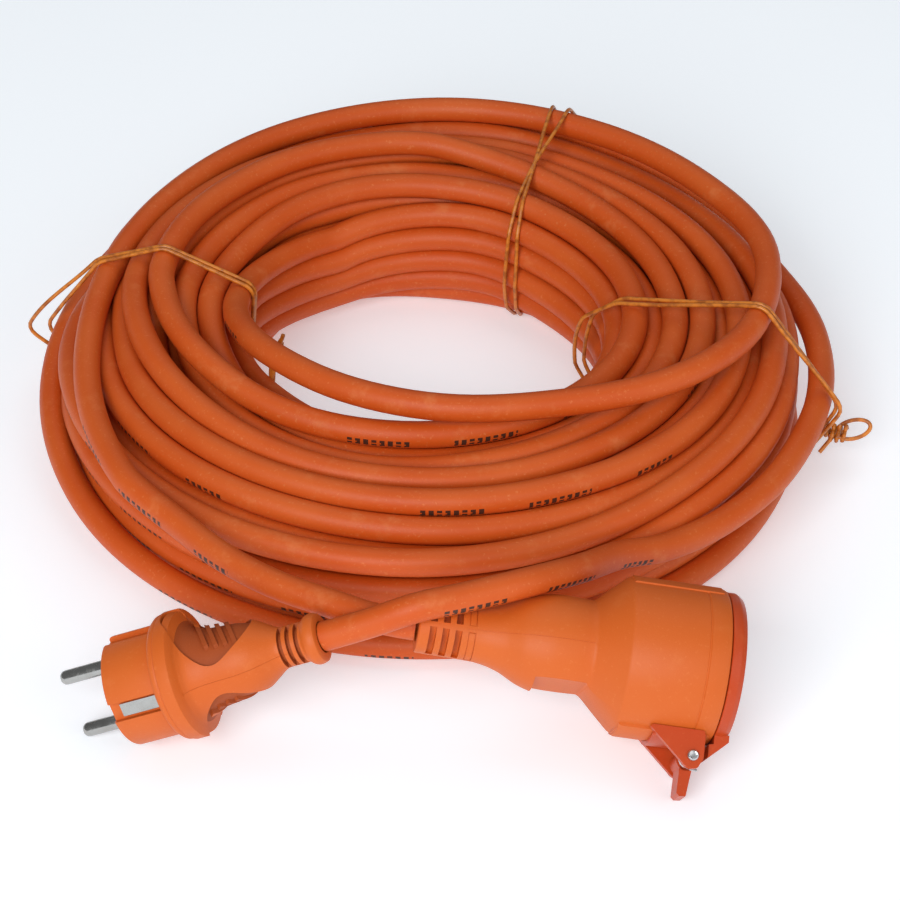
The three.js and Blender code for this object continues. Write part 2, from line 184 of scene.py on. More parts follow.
def spread_range(tree, value, low, high, new_low=0.0, new_high=1.0):
    inputs = {0: value, 1: low, 2: high, 3: new_low, 4: new_high}
    return add(tree, "ShaderNodeMapRange", inputs, interpolation_type="SMOOTHSTEP").outputs[0]


def blend_colours(tree, amount, one, other):
    node = add(tree, "ShaderNodeMix", data_type="RGBA")
    for socket, value in ((node.inputs[0], amount), (node.inputs[6], one), (node.inputs[7], other)):
        if isinstance(value, bpy.types.NodeSocket):
            tree.links.new(value, socket)
        else:
            socket.default_value = value
    return node.outputs[2]


def noise(tree, vector, scale, detail, roughness=0.55):
    inputs = {"Vector": vector, "Scale": scale, "Detail": detail, "Roughness": roughness}
    return add(tree, "ShaderNodeTexNoise", inputs).outputs[0]


def new_group(name, inputs, outputs):
    tree = bpy.data.node_groups.new(name, "ShaderNodeTree")
    for kind, wanted in (("INPUT", inputs), ("OUTPUT", outputs)):
        for socket_name, socket_kind in wanted:
            tree.interface.new_socket(socket_name, in_out=kind, socket_type=socket_kind)
    return tree, add(tree, "NodeGroupInput"), add(tree, "NodeGroupOutput")


def moulded_skin_group():
    """Colour, roughness and height of moulded or extruded rubber: cloudy tone, fine grain and dust."""
    tree, start, end = new_group(
        "moulded skin",
        [
            ("Vector", "NodeSocketVector"), ("Colour", "NodeSocketColor"), ("Cloud", "NodeSocketFloat"),
            ("Dust", "NodeSocketFloat"), ("Roughness", "NodeSocketFloat"),
            ("Grain size", "NodeSocketFloat"),
        ],
        [("Colour", "NodeSocketColor"), ("Roughness", "NodeSocketFloat"), ("Height", "NodeSocketFloat")],
    )
    vector = start.outputs["Vector"]
    cloud = noise(tree, vector, 22.0, 4.0)
    dust_patch = spread_range(tree, noise(tree, vector, 60.0, 5.0, 0.7), 0.56, 0.74)
    speck = spread_range(tree, noise(tree, vector, 900.0, 2.0), 0.60, 0.74)
    stretched = add(tree, "ShaderNodeMapping", {"Vector": vector, "Scale": (1.0, 3.2, 3.2)}).outputs[0]
    scuff = spread_range(tree, noise(tree, stretched, 150.0, 4.0, 0.75), 0.66, 0.72)
    marked = maths(tree, "MAXIMUM", maths(tree, "MAXIMUM", dust_patch, speck), scuff)
    dust = maths(tree, "MULTIPLY", marked, start.outputs["Dust"])
    lighter = blend_colours(tree, 0.35, start.outputs["Colour"], (0.80, 0.22, 0.05, 1))
    tone = maths(tree, "MULTIPLY", spread_range(tree, cloud, 0.35, 0.7), start.outputs["Cloud"])
    clouded = blend_colours(tree, tone, start.outputs["Colour"], lighter)
    tree.links.new(blend_colours(tree, dust, clouded, (0.80, 0.33, 0.12, 1)), end.inputs["Colour"])
    grain = noise(tree, vector, start.outputs["Grain size"], 2.0)
    rough = maths(tree, "ADD", start.outputs["Roughness"], maths(tree, "MULTIPLY", dust, 0.25))
    rough = maths(tree, "ADD", rough, maths(tree, "MULTIPLY", spread_range(tree, grain, 0.3, 0.7), 0.10))
    tree.links.new(rough, end.inputs["Roughness"])
    tree.links.new(grain, end.inputs["Height"])
    return tree


def printed_dashes_group():
    """A mask of plain printed dashes in short groups, from distance along the cable and round it."""
    repeat, stroke_pitch = 0.40, 0.0027  # metres
    groups = ((0.10, 0.155), (0.19, 0.245), (0.29, 0.33))  # parts of a repeat
    half_band, half_slit = 0.048, 0.010  # parts of the way round
    tree, start, end = new_group(
        "printed dashes",
        [("Along", "NodeSocketFloat"), ("Round", "NodeSocketFloat")],
        [("Mask", "NodeSocketFloat")],
    )
    along = start.outputs["Along"]
    in_period = maths(tree, "FRACT", maths(tree, "DIVIDE", along, repeat))
    mask = None
    for first, last in groups:
        after = maths(tree, "GREATER_THAN", in_period, first)
        window = maths(tree, "MULTIPLY", after, maths(tree, "LESS_THAN", in_period, last))
        mask = window if mask is None else maths(tree, "MAXIMUM", mask, window)
    cell = maths(tree, "FRACT", maths(tree, "DIVIDE", along, stroke_pitch))
    stroke = maths(tree, "LESS_THAN", cell, 0.62)
    high = maths(tree, "ABSOLUTE", maths(tree, "SUBTRACT", start.outputs["Round"], 0.5))
    band = maths(tree, "LESS_THAN", high, half_band)
    slit = maths(tree, "GREATER_THAN", high, half_slit)
    pair = maths(tree, "FRACT", maths(tree, "DIVIDE", along, 3 * stroke_pitch))
    slit = maths(tree, "MAXIMUM", slit, maths(tree, "GREATER_THAN", pair, 0.4))
    strokes = maths(tree, "MULTIPLY", mask, stroke)
    mask = maths(tree, "MULTIPLY", strokes, maths(tree, "MULTIPLY", band, slit))
    tree.links.new(mask, end.inputs["Mask"])
    return tree


# ---- materials ----


def new_material(name):
    material = bpy.data.materials.new(name)
    material.use_nodes = True
    return material, material.node_tree, material.node_tree.nodes["Principled BSDF"]


def skin_material(name, rgb, cloud, dust, roughness, grain_size, bump, printed):
    material, tree, shader = new_material(name)
    place = add(tree, "ShaderNodeTexCoord")
    skin = add(tree, "ShaderNodeGroup", node_tree=bpy.data.node_groups["moulded skin"])
    tree.links.new(place.outputs["Object"], skin.inputs["Vector"])
    values = {
        "Colour": (*rgb, 1), "Cloud": cloud, "Dust": dust, "Roughness": roughness, "Grain size": grain_size
    }
    for key, value in values.items():
        skin.inputs[key].default_value = value
    result = skin.outputs["Colour"]
    if printed:
        marks = add(tree, "ShaderNodeGroup", node_tree=bpy.data.node_groups["printed dashes"])
        along_round = add(tree, "ShaderNodeSeparateXYZ", {0: place.outputs["UV"]})
        cable = bpy.context.scene.cable_sizes
        metres = maths(tree, "MULTIPLY", along_round.outputs[ALONG], cable.long)
        tree.links.new(metres, marks.inputs["Along"])
        tree.links.new(along_round.outputs[1 - ALONG], marks.inputs["Round"])
        ink = maths(tree, "MULTIPLY", marks.outputs["Mask"], 0.95)
        result = blend_colours(tree, ink, result, (0.035, 0.018, 0.012, 1))
    tree.links.new(result, shader.inputs["Base Color"])
    tree.links.new(skin.outputs["Roughness"], shader.inputs["Roughness"])
    grain = {"Height": skin.outputs["Height"], "Strength": bump, "Distance": 0.0001}
    relief = add(tree, "ShaderNodeBump", grain)
    tree.links.new(relief.outputs[0], shader.inputs["Normal"])
    shader.inputs["Specular IOR Level"].default_value = 0.34
    return material


def metal_material(name, rgb, roughness, brushed):
    material, tree, shader = new_material(name)
    place = add(tree, "ShaderNodeTexCoord").outputs["Object"]
    streaks = noise(tree, place, 700.0, 3.0)
    tarnish = spread_range(tree, noise(tree, place, 180.0, 4.0), 0.45, 0.75, 0.0, 0.35)
    tint = blend_colours(tree, tarnish, (*rgb, 1), (rgb[0] * 0.6, rgb[1] * 0.55, rgb[2] * 0.48, 1))
    tree.links.new(tint, shader.inputs["Base Color"])
    rough = spread_range(tree, streaks, 0.3, 0.7, roughness, roughness + brushed)
    tree.links.new(rough, shader.inputs["Roughness"])
    relief = add(tree, "ShaderNodeBump", {"Height": streaks, "Strength": 0.08, "Distance": 0.00005})
    tree.links.new(relief.outputs[0], shader.inputs["Normal"])
    shader.inputs["Metallic"].default_value = 1.0
    return material


def tie_material(rgb):
    material, tree, shader = new_material("tie_amber")
    place = add(tree, "ShaderNodeTexCoord").outputs["Object"]
    streak = spread_range(tree, noise(tree, place, 350.0, 2.0), 0.35, 0.7)
    tree.links.new(
        blend_colours(tree, streak, (*rgb, 1), (rgb[0] * 0.55, rgb[1] * 0.45, rgb[2] * 0.5, 1)),
        shader.inputs["Base Color"],
    )
    shader.inputs["Roughness"].default_value = 0.32
    return material


def earth_core_material():
    material, tree, shader = new_material("core_earth")
    place = add(tree, "ShaderNodeTexCoord").outputs["Object"]
    stripe = maths(tree, "GREATER_THAN", noise(tree, place, 160.0, 1.0), 0.5)
    tint = blend_colours(tree, stripe, (0.20, 0.40, 0.04, 1), (0.80, 0.68, 0.05, 1))
    tree.links.new(tint, shader.inputs["Base Color"])
    shader.inputs["Roughness"].default_value = 0.42
    return material


def make_materials():
    look = bpy.context.scene.finishes
    moulded_skin_group()
    printed_dashes_group()
    # Colour, cloudiness, dust, roughness, grain size and relief.
    skins = {
        "cable_rubber": (look.cable, 0.55, 0.22, 0.46, 2600.0, 0.25),
        "housing_rubber": (look.housing, 0.30, 0.10, 0.45, 3200.0, 0.35),
        # The recess rubber is the housing's orange made darker, and rougher.
        "recess_rubber": (look.recess, 0.20, 0.05, 0.60, 3200.0, 0.5),
        "lid_plastic": (look.lid, 0.22, 0.08, 0.30, 2800.0, 0.18),
        "insert_plastic": ((0.05, 0.05, 0.055), 0.10, 0.04, 0.42, 2500.0, 0.2),
        "gasket_rubber": ((0.02, 0.02, 0.02), 0.05, 0.05, 0.6, 1800.0, 0.3),
        "core_brown": ((0.20, 0.09, 0.045), 0.1, 0.02, 0.4, 2000.0, 0.1),
        "core_blue": ((0.06, 0.16, 0.45), 0.1, 0.02, 0.4, 2000.0, 0.1),
    }
    # Colour, roughness, and how much rougher the brushed streaks are.
    metals = {
        "nickel_brass": ((0.46, 0.45, 0.43), 0.16, 0.12),
        "contact_brass": ((0.71, 0.55, 0.28), 0.26, 0.16),
        "spring_steel": ((0.60, 0.61, 0.62), 0.22, 0.16),
    }
    return {
        **{name: skin_material(name, *row, name == "cable_rubber") for name, row in skins.items()},
        "core_earth": earth_core_material(),
        **{name: metal_material(name, *row) for name, row in metals.items()},
        "tie_plastic": tie_material(look.tie),
    }


# ---- mesh helpers ----


def flowing(points, steps=5):
    """More points on a smooth curve through the given ones."""
    padded = [points[0], *points, points[-1]]
    result = [points[0]]
    for a, b, c, d in zip(padded, padded[1:], padded[2:], padded[3:]):
        for i in range(1, steps + 1):
            t = i / steps
            result.append(tuple(
                0.5 * (
                    2 * q + (r - p) * t + (2 * p - 5 * q + 4 * r - s) * t * t
                    + (3 * q - p - 3 * r + s) * t**3
                )
                for p, q, r, s in zip(a, b, c, d)
            ))
    return result


def spun(profile, steps=ROUND, closed=False):
    """A profile of (x, radius) points in millimetres, turned about the X axis."""
    bm = bmesh.new()
    line = [bm.verts.new((x * MM, 0, r * MM)) for x, r in profile]
    pairs = list(zip(line, line[1:])) + ([(line[-1], line[0])] if closed else [])
    edges = [bm.edges.new(pair) for pair in pairs]
    bmesh.ops.spin(
        bm, geom=line + edges, cent=(0, 0, 0), axis=(1, 0, 0), angle=math.tau, steps=steps, use_merge=True
    )
    bmesh.ops.remove_doubles(bm, verts=bm.verts, dist=1e-7)
    bmesh.ops.recalc_face_normals(bm, faces=bm.faces)
    return bm


def block(x0, x1, y0, y1, z0, z1, turn=None):
    """A box given by its sides in millimetres, turned about the origin if asked."""
    bm = bmesh.new()
    bmesh.ops.create_cube(bm, size=1)
    size = Matrix.Diagonal(((x1 - x0) * MM, (y1 - y0) * MM, (z1 - z0) * MM, 1))
    shift = Matrix.Translation(Vector((x0 + x1, y0 + y1, z0 + z1)) * MM / 2)
    bmesh.ops.transform(bm, matrix=(turn or Matrix()) @ shift @ size, verts=bm.verts)
    return bm


def thickened(bm, shift):
    """A mesh of one face, made solid by moving a copy of the face in metres."""
    made = bmesh.ops.extrude_face_region(bm, geom=list(bm.faces))
    moved = [item for item in made["geom"] if isinstance(item, bmesh.types.BMVert)]
    bmesh.ops.translate(bm, vec=shift, verts=moved)
    bmesh.ops.recalc_face_normals(bm, faces=bm.faces)
    return bm


def slab(outline, y0, y1):
    """An outline of (x, z) points in millimetres with a thickness along Y."""
    bm = bmesh.new()
    bm.faces.new([bm.verts.new((x * MM, y0 * MM, z * MM)) for x, z in outline])
    return thickened(bm, (0, (y1 - y0) * MM, 0))


def oval_column(x, half_x, half_y, z0, z1):
    """An upright column with an oval section, in millimetres."""
    bm = bmesh.new()
    bmesh.ops.create_circle(bm, cap_ends=True, radius=1, segments=OVAL_SIDES)
    place = Matrix.Translation((x * MM, 0, z0 * MM)) @ Matrix.Diagonal((half_x * MM, half_y * MM, 1, 1))
    bmesh.ops.transform(bm, matrix=place, verts=bm.verts)
    return thickened(bm, (0, 0, (z1 - z0) * MM))


def cross_rod(x, z, radius, y0, y1):
    """A round rod along Y, in millimetres."""
    bm = bmesh.new()
    bmesh.ops.create_cone(
        bm, cap_ends=True, segments=ROD_SIDES, radius1=radius * MM, radius2=radius * MM,
        depth=(y1 - y0) * MM,
    )
    turn = Matrix.Rotation(math.pi / 2, 4, "X")
    shift = Matrix.Translation(Vector((x, (y0 + y1) / 2, z)) * MM)
    bmesh.ops.transform(bm, matrix=shift @ turn, verts=bm.verts)
    return bm


def arc(cx, cz, radius, start, end, count):
    """Points on part of a circle, between two angles in degrees."""
    angles = [math.radians(start + (end - start) * i / count) for i in range(count + 1)]
    return [(cx + radius * math.cos(a), cz + radius * math.sin(a)) for a in angles]


def mirrored(side, near, far):
    """The ends of a stretch on the positive or the negative side of an axis, the lower end first."""
    return sorted((near * side, far * side))


def new_object(name, data):
    made = bpy.data.objects.new(name, data)
    bpy.context.scene.collection.objects.link(made)
    return made


def solid(name, bm):
    """A new object made from the mesh, which is used up."""
    mesh = bpy.data.meshes.new(name)
    bm.to_mesh(mesh)
    bm.free()
    return new_object(name, mesh)


def bake(piece):
    """Puts the modifiers' result into the piece's own mesh."""
    bpy.context.view_layer.update()
    made = bpy.data.meshes.new_from_object(piece.evaluated_get(bpy.context.evaluated_depsgraph_get()))
    piece.modifiers.clear()
    old = piece.data
    piece.data = made
    bpy.data.meshes.remove(old)


def combine(piece, operation, tool):
    """Cuts, joins or intersects the piece with a tool, and uses the tool up."""
    if isinstance(tool, bmesh.types.BMesh):
        tool = solid("tool", tool)
    change = piece.modifiers.new(operation.lower(), "BOOLEAN")
    change.operation = operation
    change.solver = "EXACT"
    change.object = tool
    bake(piece)
    bpy.data.objects.remove(tool)
    return piece


def cut(piece, tool):
    return combine(piece, "DIFFERENCE", tool)


def finished(piece, place, finish, body, stands_for, edge=0.25):
    """Places the piece, rounds its edges, gives it its finish and body, and hides the node it stands for.
    """
    bm = bmesh.new()
    bm.from_mesh(piece.data)
    bmesh.ops.remove_doubles(bm, verts=bm.verts, dist=2e-6)
    bmesh.ops.dissolve_degenerate(bm, edges=bm.edges, dist=1e-6)
    bmesh.ops.transform(bm, matrix=place, verts=bm.verts)
    bm.to_mesh(piece.data)
    bm.free()
    mesh = piece.data
    mesh.shade_smooth()
    mesh.set_sharp_from_angle(angle=EDGE_ANGLE)
    if edge:
        bevel = piece.modifiers.new("soft edges", "BEVEL")
        bevel.width = edge * MM
        bevel.segments = 2
        bevel.limit_method = "ANGLE"
        bevel.angle_limit = EDGE_ANGLE
        bevel.harden_normals = True
        bevel.use_clamp_overlap = True
    mesh.materials.clear()
    mesh.materials.append(MATERIALS[finish])
    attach(piece, body)
    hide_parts(stands_for)
    return piece


def tube(name, points, radius, sides, cyclic=False):
    """A round tube along the points, as a mesh with its length and girth in the UV map."""
    line = bpy.data.curves.new(name, "CURVE")
    line.dimensions = "3D"
    line.bevel_depth = radius
    line.bevel_resolution = max(0, sides // 2 - 2)
    line.use_fill_caps = not cyclic
    strand = line.splines.new("POLY")
    strand.points.add(len(points) - 1)
    strand.points.foreach_set("co", [value for p in points for value in (*p, 1.0)])
    strand.use_cyclic_u = cyclic
    maker = new_object(name + "_line", line)
    bpy.context.view_layer.update()
    mesh = bpy.data.meshes.new_from_object(maker.evaluated_get(bpy.context.evaluated_depsgraph_get()))
    bpy.data.objects.remove(maker)
    bpy.data.curves.remove(line)
    mesh.name = name
    bm = bmesh.new()
    bm.from_mesh(mesh)
    bmesh.ops.remove_doubles(bm, verts=bm.verts, dist=1e-6)
    bmesh.ops.recalc_face_normals(bm, faces=bm.faces)
    bm.to_mesh(mesh)
    bm.free()
    mesh.shade_smooth()
    mesh.set_sharp_from_angle(angle=math.radians(50))
    return new_object(name, mesh)


def travelled_along(line):
    return np.r_[0, np.cumsum(np.linalg.norm(np.diff(line, axis=0), axis=1))]


def spread_along(line, count, endpoint=True):
    """Points at an even spacing along a line of points."""
    travelled = travelled_along(line)
    at = np.linspace(0, travelled[-1], count, endpoint=endpoint)
    return np.stack([np.interp(at, travelled, values) for values in line.T], axis=1)


def smooth_route(points, spacing):
    """Evenly spaced points on a smooth curve through the given ones."""
    fine = np.array(flowing([tuple(p) for p in points], 24))
    return spread_along(fine, max(2, round(travelled_along(fine)[-1] / spacing) + 1))


# ---- the cable's course, in metres from the middle of the coil ----

PLUG_LEAD_ROUTE = [
    (-0.0323, -0.1729, 0.0442), (-0.0170, -0.1744, 0.0514), (-0.0030, -0.1750, 0.0580),
    (0.0100, -0.1710, 0.0582), (0.0200, -0.1675, 0.0582), (0.0300, -0.1630, 0.0576),
    (0.0400, -0.1555, 0.0544), (0.0500, -0.1450, 0.0490), (0.0620, -0.1300, 0.0415),
    (0.0790, -0.1170, 0.0345), (0.0985, -0.0996, 0.0310), (0.1170, -0.0775, 0.0300),
    (0.1305, -0.0520, 0.0300), (0.1390, -0.0255, 0.0300), (0.1413, 0.0020, 0.0300),
    (0.1376, 0.0280, 0.0300), (0.1280, 0.0546, 0.0300),
]
SOCKET_LEAD_ROUTE = [
    (-0.0038, -0.1691, 0.0454), (-0.0080, -0.1690, 0.0461), (-0.0180, -0.1648, 0.0454),
    (-0.0300, -0.1576, 0.0444), (-0.0480, -0.1475, 0.0436), (-0.0660, -0.1330, 0.0430),
    (-0.0830, -0.1150, 0.0435), (-0.0970, -0.1010, 0.0450),
]

# The first turn comes in from the plug's lead, high at the back, and goes down round the outside.
# Each row is an angle round the coil in degrees, a radius and a height in millimetres.
FIRST_TURN = [
    (23, 139.2, 30), (40, 137.4, 38), (56, 135.8, 45.5), (70, 134.4, 49), (90, 131.5, 48), (120, 130.5, 42),
    (150, 133, 33), (180, 137, 24), (215, 138, 13), (250, 135.5, 7), (270, 134.6, 6.6), (300, 134, 6.6),
    (330, 131.5, 6.6), (365, 129.5, 6.8),
]
# The last turn climbs out of the eye, crosses the front, and lies on top round to the coupler's lead.
LAST_TURN = [
    (120, 74, 37), (150, 71.5, 42), (182, 70, 50), (200, 69, 55), (223, 68.5, 59), (245, 70.5, 60.5),
    (275, 76.3, 60.8), (300, 85, 60.8), (330, 106, 60.5), (345, 115, 59.5), (361, 121, 59),
    (373, 124.5, 58.5), (394, 124, 58), (418, 125, 57.8), (447, 126.5, 57.2), (475, 123, 56.6),
    (509, 118, 54.5), (530, 118.5, 52), (547, 121.8, 49.6), (565, 129, 47), (586.2, 140, 45),
]
# Rows of turns from the floor up: height, number of turns, inner and outer radius, in millimetres.
WOUND_ROWS = [
    (6.6, 6, 68, 124), (15, 7, 64.5, 129), (23.4, 7, 64.5, 129), (31.8, 7, 64.5, 129), (40.2, 6, 66.5, 126),
    (48.4, 4, 72, 112),
]
LANE_SPACING = 10.7
WANDER = 1.3  # how far a turn strays from a circle
# The wall that holds the turns in has a section between an oval and a rectangle.
WALL_INNER, WALL_OUTER = 65.75, 129.05
WALL_MIDDLE_HEIGHT, WALL_HALF_HEIGHT = 28.0, 30.0
WALL_SQUARENESS = 2.6
EYE_SWELL, EYE_SWELL_ANGLE = 8.0, 135
FLOOR_HEIGHT = 6.45  # of a centreline that lies on the ties
TIE_ANGLES = {"tie_left": 165, "tie_back": 72, "tie_right": -8}
# Where each tie goes down inside the eye and outside the coil, seen from above.
TIE_LINES = {
    "tie_left": ((-0.065, 0.010), (-0.135, 0.0225)),
    "tie_back": ((0.033, 0.064), (0.056, 0.136)),
    "tie_right": ((0.066, 0.002), (0.141, -0.034)),
}
# How each of a tie's two strands lies, in metres.
TIE_STRANDS = {
    "tie_left": [
        {"shift": 0.0012, "swing": 0.0006, "slack": 0.0015, "sag": 0.001},
        {"shift": -0.0012, "slack": 0.0085, "sag": 0.007},
    ],
    "tie_back": [{"shift": 0.0010, "swing": 0.0030}, {"shift": -0.0012, "swing": -0.0032}],
    "tie_right": [
        {"shift": 0.0011, "slack": 0.0010, "inner_slack": 0.0045},
        {"shift": -0.0013, "swing": 0.0010, "slack": 0.0030, "inner_slack": 0.0075},
    ],
}
TIE_PINCH, TIE_PINCH_ANGLE = 0.05, 14  # how much tighter the wall is at a tie, and over what angle
KNOT_REACH = 0.1472  # from the coil's axis, at the right tie's angle
KNOT_SHIFT = (0, -0.008, 0.0145)
KNOT_TURNS = 3.5
TAILS_FOOT = (-0.0575, -0.0305, 0.031)  # on the wall of the eye
STRAND_SIDES = 8
HULL_POINTS = 120
COURSE_SPACING = 0.0052
STEP_ANGLE = 5
COIL_START = 25
COIL_END = 225


def along_rows(rows, angles):
    """Radius and height at each angle, on smooth curves through the rows."""
    table = np.array(rows, float)
    knots = table[:, 0]
    i = np.clip(np.searchsorted(knots, angles, side="right") - 1, 0, len(knots) - 2)
    gap = knots[i + 1] - knots[i]
    t = (angles - knots[i]) / gap
    result = []
    for values in (table[:, 1], table[:, 2]):
        slope = np.gradient(values, knots)
        here = (2 * t**3 - 3 * t**2 + 1) * values[i] + (t**3 - 2 * t**2 + t) * gap * slope[i]
        there = (3 * t**2 - 2 * t**3) * values[i + 1] + (t**3 - t**2) * gap * slope[i + 1]
        result.append(here + there)
    return result


def winding_order():
    """The turns' places, column by column from the outside in, up one column and down the next."""
    places = [(r, z) for z, count, inner, outer in WOUND_ROWS for r in np.linspace(inner, outer, count)]
    column = [round((WALL_OUTER - r) / LANE_SPACING) for r, _ in places]
    order = []
    for c in range(max(column) + 1):
        members = sorted((p for p, k in zip(places, column) if k == c), key=lambda p: p[1])
        order += members if c % 2 == 0 else members[::-1]
    return np.array(order)


class Winding:
    """The cable's turns, settled under contact, stiffness and gravity on planes through the coil's axis."""

    def __init__(self, cable_diameter):
        self.width = cable_diameter / MM
        lanes = winding_order()
        count = len(lanes)
        last = COIL_END + 360 * (count + 1)
        self.angles = np.arange(COIL_START, last + 0.1, STEP_ANGLE)
        self.lay_in_lanes(lanes, count)
        self.guide(FIRST_TURN, self.angles, self.angles <= 365)
        late = self.angles - (last - 585)
        self.guide(LAST_TURN, late, late >= LAST_TURN[0][0])
        self.planes = 360 // STEP_ANGLE
        self.layers = -(-len(self.angles) // self.planes)
        self.spare = self.layers * self.planes - len(self.angles)
        self.pairs = np.triu_indices(self.layers, 1)
        free = self.by_plane(np.where(self.guided, 0.0, 1.0), 0.0)
        one, other = free[:, self.pairs[0]], free[:, self.pairs[1]]
        both = one + other + 1e-9
        self.share = (one / both, other / both)

    def lay_in_lanes(self, lanes, count):
        """Each turn keeps to its lane at the front and moves to the next one round the back."""
        turn = (self.angles - 365) / 360
        lane = np.clip(np.floor(turn).astype(int), 0, count - 1)
        part = turn - np.floor(turn)
        crossing_part = 0.46  # of a turn
        draw = np.random.default_rng(5)
        start = draw.uniform(0.04, 0.10, count + 1)
        t = np.clip((part - start[lane]) / crossing_part, 0, 1)
        t = t * t * (3 - 2 * t)
        following = np.clip(lane + 1, 0, count - 1)
        self.radius = lanes[lane, 0] * (1 - t) + lanes[following, 0] * t
        self.height = lanes[lane, 1] * (1 - t) + lanes[following, 1] * t
        wander = draw.normal(0, WANDER, (count + 2, 4))
        place = np.clip(turn + 1, 0, count + 0.999)
        low = np.floor(place).astype(int)
        rest = (place - low)[:, None]
        drift = wander[low] * (1 - rest) + wander[np.clip(low + 1, 0, count + 1)] * rest
        round_angle = np.radians(self.angles)
        self.radius += drift[:, 0] * np.cos(round_angle) + drift[:, 1] * np.sin(round_angle)
        twice = 2 * round_angle
        self.radius += 0.6 * drift[:, 2] * np.cos(twice) + 0.6 * drift[:, 3] * np.sin(twice)
        across = (WALL_OUTER - self.radius) / (WALL_OUTER - WALL_INNER)
        self.radius += self.eye_swell() * np.clip(across, 0, 1)
        self.wanted = (self.radius.copy(), self.height.copy())
        self.guided = np.zeros(len(self.angles), bool)

    def eye_swell(self):
        """How much wider the eye is than a round one, at each angle: most at the back and left."""
        return EYE_SWELL * np.maximum(0, np.cos(np.radians(self.angles - EYE_SWELL_ANGLE)))

    def guide(self, rows, angles, which):
        """Some of the steps lie where the rows say, and nothing moves them."""
        self.radius[which], self.height[which] = along_rows(rows, np.maximum(angles[which], rows[0][0]))
        self.guided |= which

    def by_plane(self, values, fill):
        """The values as a table, with a row for each plane and a column for each time round."""
        return np.concatenate([values, np.full(self.spare, fill)]).reshape(self.layers, self.planes).T

    def stiffen(self, iteration):
        """Smooths each turn, and now and then draws its waves in."""
        free = ~self.guided
        for name in ("radius", "height"):
            values = getattr(self, name)
            for _ in range(2):
                p = np.pad(values, 2, mode="edge")
                smooth = (-p[:-4] + 4 * p[1:-3] + 4 * p[3:-1] - p[4:]) / 6
                values = np.where(free, values + 0.5 * (smooth - values), values)
            if iteration % 2 == 0:
                p = np.pad(values, 4, mode="edge")
                values = np.where(free, values + 0.06 * ((p[:-8] + p[8:]) / 2 - values), values)
            setattr(self, name, values)

    def push_apart(self):
        """Turns that overlap on a plane move away from each other."""
        far = 1e6
        radius, height = self.by_plane(self.radius, far), self.by_plane(self.height, far)
        one, other = self.pairs
        dr, dz = radius[:, one] - radius[:, other], height[:, one] - height[:, other]
        distance = np.sqrt(dr * dr + dz * dz) + 1e-9
        push = 0.8 * np.clip(self.width + 0.05 - distance, 0, self.width) / distance
        for grid, delta in ((radius, dr), (height, dz)):
            move = np.zeros_like(grid)
            np.add.at(move, (slice(None), one), push * delta * self.share[0])
            np.add.at(move, (slice(None), other), -push * delta * self.share[1])
            grid += move
        self.radius = radius.T.reshape(-1)[: len(self.angles)]
        self.height = height.T.reshape(-1)[: len(self.angles)]

    def hold_in(self):
        """The floor, and the round wall that the ties hold the turns in, tighter at each tie."""
        free = ~self.guided
        tight = np.ones(len(self.angles))
        for angle in TIE_ANGLES.values():
            away = (self.angles - angle + 180) % 360 - 180
            tight -= TIE_PINCH * np.exp(-((away / TIE_PINCH_ANGLE) ** 2))
        self.height = np.where(free, np.maximum(self.height, FLOOR_HEIGHT), self.height)
        level = np.clip((self.height - WALL_MIDDLE_HEIGHT) / WALL_HALF_HEIGHT, -1, 1)
        half = (WALL_OUTER - WALL_INNER) / 2 * tight
        bow = (1 - np.abs(level) ** WALL_SQUARENESS) ** (1 / WALL_SQUARENESS)
        limit = np.maximum(half * bow + 1, 6)
        away = self.radius - (WALL_INNER + WALL_OUTER) / 2
        reach = np.where(away < 0, limit - self.eye_swell(), limit)
        over = np.maximum(np.abs(away) - reach, 0) * free
        self.radius = self.radius - 0.3 * np.sign(away) * over

    def settle(self, rounds):
        for i in range(rounds):
            self.stiffen(i)
            free = ~self.guided
            if i < 0.6 * rounds:
                self.radius += 0.01 * free * (self.wanted[0] - self.radius)
                self.height += 0.004 * free * (self.wanted[1] - self.height)
            self.height = self.height - 0.03 * free
            for _ in range(3):
                self.push_apart()
                self.hold_in()

    def points(self):
        angle = np.radians(self.angles)
        flat = (self.radius * np.cos(angle), self.radius * np.sin(angle), self.height)
        return np.stack(flat, axis=1) * MM


def cable_course():
    """The whole cable from the plug to the coupler, on evenly spaced points."""
    winding = Winding(bpy.context.scene.cable_sizes.diameter)
    winding.settle(700)
    turns = winding.points()
    first = np.array(PLUG_LEAD_ROUTE)
    last = np.array(SOCKET_LEAD_ROUTE)[::-1]
    whole = np.concatenate([first[:-1], turns, last[1:]])
    return smooth_route(whole, COURSE_SPACING) + np.array(COIL_MIDDLE)


# ---- the camera and the stage ----

FLOOR_HALF, FLOOR_GLOW = 25, 0.33
WORLD_COLOUR, WORLD_STRENGTH = (0.93, 0.965, 1.0, 1), 0.20
# Each light's place, size and power.
LIGHTS = {
    "key": ((-0.45, -1.35, 0.95), 0.9, 20.5),
    "fill": ((1.1, -1.0, 0.8), 1.2, 6),
    "top": ((0.1, 0.5, 1.6), 1.4, 5),
}


def make_camera():
    data = bpy.data.cameras.new("camera")
    data.lens = CAMERA_LENS
    camera = new_object("camera", data)
    toward = Vector((0, -math.cos(CAMERA_HEIGHT), math.sin(CAMERA_HEIGHT)))
    camera.location = COIL_MIDDLE + CAMERA_AIM + toward * CAMERA_DISTANCE
    camera.rotation_euler = toward.to_track_quat("Z", "Y").to_euler()
    bpy.context.scene.camera = camera


